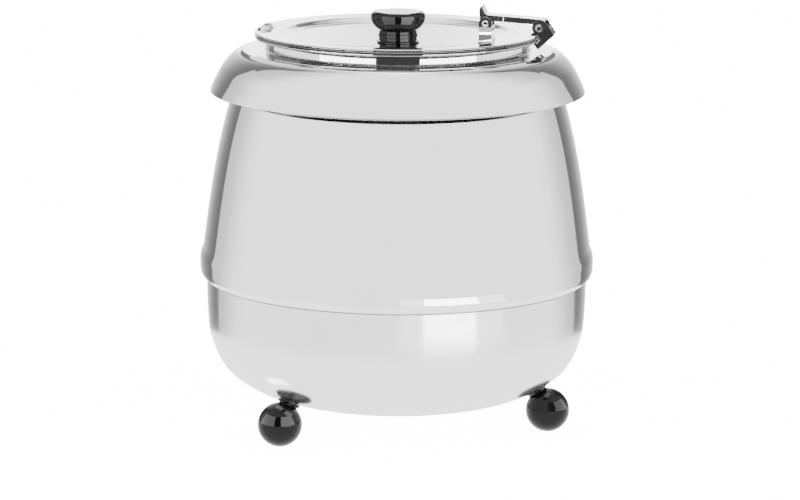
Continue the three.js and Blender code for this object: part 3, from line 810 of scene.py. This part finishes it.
class Paint:
    """A material under construction, with short names for its nodes."""

    def __init__(self, name, colour, metallic, roughness):
        self.material = bpy.data.materials.new(name)
        self.material.use_nodes = True
        self.nodes = self.material.node_tree.nodes
        self.links = self.material.node_tree.links
        self.shader = self.nodes["Principled BSDF"]
        self.put("Base Color", (*colour, 1))
        self.put("Metallic", metallic)
        self.put("Roughness", roughness)
        self.colour, self.roughness = colour, roughness
        self.place = self.nodes.new("ShaderNodeTexCoord").outputs["Object"]
        self.heights = []

    def put(self, name, value, node=None):
        (node or self.shader).inputs[name].default_value = value

    def math(self, operation, *values):
        return calculated(self.nodes, self.links, operation, *values)

    def around(self, along, across, up):
        """Coordinates that run round the main axis: turn, radius and height, each with its own scale."""
        split = self.nodes.new("ShaderNodeSeparateXYZ")
        self.links.new(self.place, split.inputs[0])
        x, y, z = split.outputs
        turn = self.math("MULTIPLY", self.math("ARCTAN2", y, x), along)
        radius = self.math("SQRT", self.math("ADD", self.math("MULTIPLY", x, x), self.math("MULTIPLY", y, y)))
        join = self.nodes.new("ShaderNodeCombineXYZ")
        fill(self.links, join, (turn, self.math("MULTIPLY", radius, across), self.math("MULTIPLY", z, up)))
        return join.outputs[0]

    def blend(self, first, share, second, rest):
        return self.math("ADD", self.math("MULTIPLY", first, share), self.math("MULTIPLY", second, rest))

    def stretched(self, x, y, z):
        """Object coordinates with a scale for each axis."""
        mapping = self.nodes.new("ShaderNodeMapping")
        mapping.inputs["Scale"].default_value = (x, y, z)
        self.links.new(self.place, mapping.inputs["Vector"])
        return mapping.outputs[0]

    def noise(self, scale, detail, roughness, vector=None):
        node = self.nodes.new("ShaderNodeTexNoise")
        self.put("Scale", scale, node)
        self.put("Detail", detail, node)
        self.put("Roughness", roughness, node)
        self.links.new(vector or self.place, node.inputs["Vector"])
        return node.outputs["Fac"]

    def spread(self, value, low, high, start=0.3, end=0.7):
        """The value from start to end, spread over low to high."""
        node = self.nodes.new("ShaderNodeMapRange")
        fill(self.links, node, (value, start, end, low, high))
        return node.outputs[0]

    def vary_roughness(self, value, by):
        low, high = max(self.roughness - by, 0.01), self.roughness + by
        self.links.new(self.spread(value, low, high), self.shader.inputs["Roughness"])

    def vary_colour(self, value, darker, start=0.3, end=0.7):
        """The colour, down to a darker share of it."""
        mix = self.nodes.new("ShaderNodeMix")
        mix.data_type = "RGBA"
        self.put("A", (*(c * darker for c in self.colour), 1), mix)
        self.put("B", (*self.colour, 1), mix)
        self.links.new(self.spread(value, 0.0, 1.0, start, end), mix.inputs["Factor"])
        self.links.new(mix.outputs["Result"], self.shader.inputs["Base Color"])

    def bump(self, value, depth):
        """Adds relief of the given depth in millimetres."""
        node = self.nodes.new("ShaderNodeBump")
        self.put("Strength", 1.0, node)
        self.put("Distance", depth * MM, node)
        self.links.new(value, node.inputs["Height"])
        if self.heights:
            self.links.new(self.heights[-1], node.inputs["Normal"])
        self.heights.append(node.outputs["Normal"])
        self.links.new(node.outputs["Normal"], self.shader.inputs["Normal"])


def mirror_steel():
    """Polished stainless: faint lines round the axis, wiped smudges and a slight roll of the sheet."""
    paint = Paint("mirror_steel", (0.84, 0.84, 0.845), 1.0, 0.055)
    lines = paint.noise(1.0, 4, 0.6, paint.around(along=3, across=2600, up=2600))
    smudge = paint.noise(9, 4, 0.62, paint.stretched(1, 1, 0.6))
    paint.vary_colour(smudge, 0.972)
    paint.vary_roughness(paint.blend(smudge, 0.6, lines, 0.4), 0.022)
    paint.bump(lines, 0.0016)
    paint.bump(paint.noise(1.0, 1, 0.4, paint.around(along=1.5, across=9, up=9)), 0.06)
    return paint


def satin_steel():
    """Spun satin stainless: fine turned grain that draws reflections out across it, with soft patches."""
    paint = Paint("satin_steel", (0.84, 0.84, 0.84), 1.0, 0.16)
    paint.put("Anisotropic", 0.72)
    paint.put("Anisotropic Rotation", 0.25)
    tangent = paint.nodes.new("ShaderNodeTangent")
    tangent.direction_type = "RADIAL"
    tangent.axis = "Z"
    paint.links.new(tangent.outputs[0], paint.shader.inputs["Tangent"])
    grain = paint.noise(1.0, 5, 0.65, paint.around(along=5, across=3200, up=3200))
    patch = paint.noise(6, 4, 0.6, paint.stretched(1, 1, 1.6))
    paint.vary_colour(paint.blend(grain, 0.5, patch, 0.5), 0.90)
    paint.vary_roughness(patch, 0.035)
    paint.bump(grain, 0.003)
    return paint


def chrome():
    """Bright plate over a pressing: nearly sharp, with a trace of orange peel and dust."""
    paint = Paint("bright_chrome", (0.87, 0.87, 0.88), 1.0, 0.05)
    peel = paint.noise(420, 2, 0.5)
    haze = paint.noise(60, 4, 0.6)
    paint.vary_roughness(haze, 0.025)
    paint.vary_colour(haze, 0.95)
    paint.bump(peel, 0.002)
    return paint


def plain_steel():
    """Zinc-plated steel with a mottled, slightly yellowed passivation."""
    paint = Paint("zinc_plated_steel", (0.60, 0.60, 0.60), 1.0, 0.34)
    bloom = paint.noise(130, 5, 0.65)
    paint.vary_colour(bloom, 0.78)
    paint.vary_roughness(paint.noise(45, 3, 0.6), 0.09)
    paint.bump(paint.noise(900, 3, 0.6), 0.006)
    return paint


def gloss_black():
    """Compression-moulded phenolic: deep gloss, slight waviness, fine dust."""
    paint = Paint("gloss_phenolic", (0.004, 0.004, 0.0043), 0.0, 0.06)
    paint.put("Specular IOR Level", 0.16)
    haze = paint.noise(38, 4, 0.6)
    paint.vary_roughness(haze, 0.03)
    paint.vary_colour(paint.noise(700, 2, 0.5), 0.7)
    paint.bump(paint.noise(90, 2, 0.5), 0.008)
    return paint


def matte_black():
    """Glass-filled nylon with a fine spark-eroded grain."""
    paint = Paint("matte_nylon", (0.021, 0.021, 0.022), 0.0, 0.48)
    grain = paint.noise(1500, 3, 0.6)
    paint.vary_colour(paint.noise(55, 4, 0.6), 0.75)
    paint.vary_roughness(grain, 0.08)
    paint.bump(grain, 0.02)
    return paint


def ceramic():
    """Cream steatite with a thin glaze and dark specks."""
    paint = Paint("glazed_ceramic", (0.82, 0.78, 0.68), 0.0, 0.32)
    specks = paint.noise(800, 2, 0.7)
    paint.vary_colour(specks, 0.55, 0.22, 0.34)
    paint.vary_roughness(paint.noise(70, 3, 0.6), 0.1)
    paint.bump(paint.noise(240, 3, 0.5), 0.03)
    return paint


def brass():
    """Drawn brass, a little tarnished."""
    paint = Paint("drawn_brass", (0.76, 0.57, 0.27), 1.0, 0.26)
    tarnish = paint.noise(80, 5, 0.65)
    paint.vary_colour(tarnish, 0.62)
    paint.vary_roughness(tarnish, 0.09)
    paint.bump(paint.noise(1200, 2, 0.5, paint.stretched(1, 1, 0.2)), 0.003)
    return paint


def amber_lens():
    """Clear amber plastic over a small neon lamp, with moulded rings."""
    paint = Paint("amber_plastic", (0.78, 0.27, 0.03), 0.0, 0.12)
    paint.put("Transmission Weight", 0.35)
    paint.put("IOR", 1.49)
    paint.vary_colour(paint.noise(260, 2, 0.5), 0.8)
    paint.vary_roughness(paint.noise(90, 3, 0.5), 0.04)
    paint.bump(paint.noise(420, 1, 0.4), 0.04)
    return paint


def pale_mark():
    """Off-white ink, slightly worn."""
    paint = Paint("pale_ink", (0.78, 0.77, 0.73), 0.0, 0.5)
    paint.vary_colour(paint.noise(600, 3, 0.6), 0.8)
    return paint


# one for each of the part's material slots, by the slot's name
FINISHES = {make.__name__: make().material for make in (
    mirror_steel, satin_steel, chrome, plain_steel, gloss_black, matte_black, ceramic, brass, amber_lens,
)}


# ---- assembly ----
def stands_for(piece, node):
    """The piece rides and looks as the CAD node does, and the CAD node is hidden."""
    piece.data.materials.append(FINISHES[SLOT_OF[node]])
    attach(piece, BODY_OF[node])
    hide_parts(node)


def trims(piece, node, finish):
    """A small extra piece that is fixed to a CAD node's body."""
    piece.data.materials.append(finish)
    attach(piece, BODY_OF[node])


for name, node in NODES.items():
    for holder in node.material_slots:
        holder.material = FINISHES[SLOT_OF[name]]

for make in (barrel_shell, base_bowl, collar, water_well, centre_stud, centre_washer):
    stands_for(make(), make.__name__)
stands_for(nut("centre_nut_piece", 4.0, 8.0, 17.5, 24.0), "centre_nut")
for k in range(FOOT_COUNT):
    for make in (ball_foot, foot_saucer, foot_stud, foot_nut):
        stands_for(make(k), f"{make.__name__}_{k + 1}")
for make in (soup_pot, rim_bracket):
    stands_for(make(), make.__name__)
stands_for(hinge_pin("rim_pin_piece", RIM_PIVOT, 3.7, 2.4), "rim_pin")
for make in (hinge_arm, lid, lid_bracket):
    stands_for(make(), make.__name__)
stands_for(hinge_pin("lid_pin_piece", LID_PIVOT, 2.9, 2.4), "lid_pin")
for make in (lid_knob, knob_disc, dial_plate):
    stands_for(make(), make.__name__)
trims(tick_marks(), "dial_plate", FINISHES["matte_black"])
stands_for(dial_knob(), "dial_knob")
trims(dial_grip(), "dial_knob", FINISHES["matte_black"])
trims(dial_pointer(), "dial_knob", pale_mark().material)
for make in (pilot_lamp, cord_gland):
    stands_for(make(), make.__name__)


# ---- studio ----
# Brightness of the light tent by angle from the camera's side: pale in front, dark curtains, pale behind.
PANELS = [
    (0, 2.55), (92, 2.6), (100, 2.4), (110, 1.8), (120, 1.3), (131, 1.1), (132, 0.20),
    (139, 0.26), (147, 0.40), (157, 0.85), (168, 1.8), (176, 4.2), (180, 4.6),
]
TENT_R, TENT_TOP = 0.95, 0.9
CEILING, CEILING_FADE = 2.6, (0.80, 0.97)    # its brightness, and the elevations' sines it fades in over
TABLE_MIDDLE, TABLE_MIDDLE_R = 3.0, 0.41     # the table's brightness under the kettle, and how far it reaches
SIDE_R = 0.152               # about where the kettle's sides mirror the tent
FLOOR_R, FLOOR_DROP = 14, 0.0002
SEEN_WHITE = 14              # brightness of the floor and background that the camera sees


def glow_panels(nodes, links, vector, inset=0.0):
    """The tent's brightness in the direction of a vector. The inset moves the start of the direction
    from the kettle's axis out to its side, on whichever side the vector is."""
    split = nodes.new("ShaderNodeSeparateXYZ")
    links.new(vector, split.inputs[0])

    def calc(*values):
        return calculated(nodes, links, *values)

    side = calc("SUBTRACT", calc("ABSOLUTE", split.outputs["Y"]), inset)
    share = calc("DIVIDE", calc("ABSOLUTE", calc("ARCTAN2", side, split.outputs["X"])), math.pi)
    ramp = nodes.new("ShaderNodeValToRGB")
    links.new(share, ramp.inputs["Fac"])
    brightest = max(level for _, level in PANELS)
    for degrees, _ in PANELS[1:-1]:
        ramp.color_ramp.elements.new(degrees / 180)
    for element, (_, level) in zip(ramp.color_ramp.elements, PANELS):
        element.color = (*[level / brightest] * 3, 1)
    return ramp.outputs["Color"], brightest


def facing_camera(nodes, links, vector):
    """The vector turned so that +X points to the camera's side."""
    mapping = nodes.new("ShaderNodeMapping")
    mapping.vector_type = "VECTOR"
    mapping.inputs["Rotation"].default_value = (0, 0, math.pi / 2 - FRONT)
    links.new(vector, mapping.inputs["Vector"])
    return mapping.outputs[0]


def surroundings():
    world = bpy.data.worlds.new("studio")
    world.use_nodes = True
    bpy.context.scene.world = world
    nodes, links = world.node_tree.nodes, world.node_tree.links
    direction = nodes.new("ShaderNodeTexCoord").outputs["Generated"]
    colour, strength = glow_panels(nodes, links, facing_camera(nodes, links, direction))
    split = nodes.new("ShaderNodeSeparateXYZ")
    links.new(direction, split.inputs[0])
    overhead = nodes.new("ShaderNodeMapRange")
    fill(links, overhead, (split.outputs["Z"], *CEILING_FADE))
    even = nodes.new("ShaderNodeMix")
    even.data_type = "RGBA"
    links.new(overhead.outputs[0], even.inputs["Factor"])
    links.new(colour, even.inputs["A"])
    even.inputs["B"].default_value = (*[CEILING / strength] * 3, 1)
    background = nodes["Background"]
    background.inputs["Strength"].default_value = strength
    links.new(even.outputs["Result"], background.inputs["Color"])
    seen = nodes.new("ShaderNodeBackground")
    seen.inputs["Color"].default_value = (1, 1, 1, 1)
    seen.inputs["Strength"].default_value = SEEN_WHITE
    mix = nodes.new("ShaderNodeMixShader")
    from_camera = nodes.new("ShaderNodeLightPath").outputs["Is Camera Ray"]
    fill(links, mix, (from_camera, background.outputs[0], seen.outputs[0]))
    links.new(mix.outputs[0], nodes["World Output"].inputs["Surface"])


def glowing(name, mesh, strength, colour=None, carries=None):
    """A stage panel that only reflections see. One that carries a given distance, in metres, is seen
    only from its front and only by pieces nearer than that."""
    panel = object_from(mesh, name)
    material = bpy.data.materials.new(name)
    material.use_nodes = True
    nodes, links = material.node_tree.nodes, material.node_tree.links
    nodes.clear()
    light = nodes.new("ShaderNodeEmission")
    light.inputs["Strength"].default_value = strength
    if colour:
        source, brightest = colour(nodes, links)
        links.new(source, light.inputs["Color"])
        light.inputs["Strength"].default_value = brightest
    surface = light.outputs[0]
    if carries:
        length = nodes.new("ShaderNodeLightPath").outputs["Ray Length"]
        behind = nodes.new("ShaderNodeNewGeometry").outputs["Backfacing"]
        too_far = calculated(nodes, links, "GREATER_THAN", length, carries)
        unseen = calculated(nodes, links, "MAXIMUM", behind, too_far)
        clear = nodes.new("ShaderNodeBsdfTransparent").outputs[0]
        mix = nodes.new("ShaderNodeMixShader")
        fill(links, mix, (unseen, light.outputs[0], clear))
        surface = mix.outputs[0]
    links.new(surface, nodes.new("ShaderNodeOutputMaterial").inputs["Surface"])
    panel.data.materials.append(material)
    panel.visible_camera = panel.visible_diffuse = False
    panel.visible_shadow = panel.visible_transmission = False
    return panel


def seen_panels(nodes, links):
    place = nodes.new("ShaderNodeTexCoord").outputs["Object"]
    return glow_panels(nodes, links, facing_camera(nodes, links, place), SIDE_R)


def tent_wall():
    mesh = bmesh.new()
    sides = 96
    low = ring_points(mesh, TENT_R / MM, 0, sides)
    high = ring_points(mesh, TENT_R / MM, TENT_TOP / MM, sides)
    skin(mesh, [low, high], sides)
    glowing("tent_wall", mesh, 1.0, seen_panels)


def card_turn(degrees):
    """The turn about +Z of an angle measured from the camera's side, positive to its right."""
    return FRONT - math.pi / 2 + math.radians(degrees)


def table_glow():
    """What the kettle's underside mirrors: a pale table, with a pool of light on it to the camera's right.
    The layers lie a little above one another, at z in millimetres."""
    for name, radius, z, colour in (
        ("table_glow", TENT_R, -0.4, seen_panels), ("table_middle", TABLE_MIDDLE_R, 0.2, None),
    ):
        mesh = bmesh.new()
        bmesh.ops.create_circle(mesh, cap_ends=True, radius=radius, segments=96)
        glowing(name, mesh, TABLE_MIDDLE, colour).location.z = z * MM
    for name, z, near, far, start, end, strength in (
        ("pool_halo", 0.4, 0.50, 0.90, 2, 58, 3.5), ("pool_of_light", 0.6, 0.52, 0.86, 14, 42, 10.0),
    ):
        mesh = bmesh.new()
        corners = []
        for radius, angle in ((near, start), (near, end), (far, end), (far, start)):
            a = card_turn(angle)
            corners.append(mesh.verts.new((radius * math.cos(a), radius * math.sin(a), z * MM)))
        mesh.faces.new(corners)
        glowing(name, mesh, strength)


def curved_card(name, radius, low, high, start, end, strength, centre=(0, 0), carries=0.12):
    """A strip of card curved round a centre, in millimetres, and seen only from its inner side."""
    mesh = bmesh.new()
    steps = 24
    turns = [card_turn(start + (end - start) * k / steps) for k in range(steps + 1)]
    places = [(centre[0] + radius * math.cos(a), centre[1] + radius * math.sin(a)) for a in turns]
    rows = [[vert(mesh, x, y, z) for x, y in places] for z in (low, high)]
    for k in range(steps):
        mesh.faces.new([rows[0][k], rows[1][k], rows[1][k + 1], rows[0][k + 1]])
    glowing(name, mesh, strength, carries=carries)


def curved_cards(prefix, radius, low, high, cards, **more):
    """Cards at the same distance and height, each with its name, start, end and brightness."""
    for name, start, end, strength in cards:
        curved_card(f"{prefix}_{name}", radius, low, high, start, end, strength, **more)


def neck_cards():
    """White cards close to the collar's neck, parted by the dark lens, and a dark band above for the rims."""
    radius, low, middle, high = 146, 344.6, 349.6, 392
    white, grey, dark, dim = 9.0, 2.3, 0.06, 0.25
    curved_cards("neck_card", radius, low, middle, (
        ("lens", -11, 11, dark), ("white_right", 11, 42, white), ("white_left", -42, -11, white),
        ("grey_right", 42, 86, grey), ("grey_left", -86, -42, grey),
    ))
    curved_cards("rim_card", radius, middle, high, (
        ("left", -96, -56, dim), ("front", -56, 56, dark), ("right", 56, 96, dim),
    ), carries=0.07)


def knob_cards():
    """Two soft boxes parted by the dark lens, mirrored in the black knob."""
    radius, low, high = 100, 354, 432
    curved_cards("knob_card", radius, low, high, (
        ("left", -64, -12, 9.0), ("lens", -12, 12, 0.05), ("right", 12, 62, 17.0),
    ))


def hinge_cards():
    """Dark strips beside the hinge, so that its chrome cheeks mirror black with pale bands and edges."""
    y = -34
    for name, left, right, low, high, strength in (
        ("arm", 66, 152, 366, 398, 0.06), ("bracket", 66, 104, 361.5, 366, 1.0),
        ("sole", 66, 104, 352, 359.5, 0.3), ("rim", 104, 152, 336, 366, 0.05),
    ):
        mesh = bmesh.new()
        corners = ((left, low), (left, high), (right, high), (right, low))
        mesh.faces.new([vert(mesh, x, y, z) for x, z in corners])
        glowing(f"hinge_card_{name}", mesh, strength, carries=0.045)


def ladle_card():
    """A dark strip by the ladle notch, mirrored in its raised lip."""
    curved_card("ladle_card", 30, 366, 373, -60, 75, 0.05, (LADLE_X, 0), 0.05)


def foot_cards():
    """Soft boxes and a dark gap mirrored in the two front ball feet."""
    radius, low, high = 30, 23, 47
    for name, k, cards in (
        ("left", 1, ((-80, -18, 9.0), (-18, 6, 0.05), (6, 60, 13.0))),
        ("right", 0, ((28, 85, 8.0), (0, 28, 0.6))),
    ):
        ball = foot_place(k).translation / MM
        for start, end, strength in cards:
            curved_card(f"foot_card_{name}_{start}", radius, low, high, start, end, strength, ball[:2], 0.04)


def floor():
    """The pale floor that the camera sees."""
    mesh = bmesh.new()
    bmesh.ops.create_circle(mesh, cap_ends=True, radius=FLOOR_R, segments=96)
    ground = object_from(mesh, "floor")
    ground.location.z = -FLOOR_DROP
    paint = Paint("floor", (0.9, 0.9, 0.9), 0.0, 0.9)
    paint.put("Emission Color", (1, 1, 1, 1))
    paint.put("Emission Strength", SEEN_WHITE)
    ground.data.materials.append(paint.material)
    ground.visible_glossy = ground.visible_diffuse = False


for build in (
    floor, surroundings, tent_wall, table_glow, neck_cards, knob_cards, hinge_cards, ladle_card, foot_cards,
):
    build()
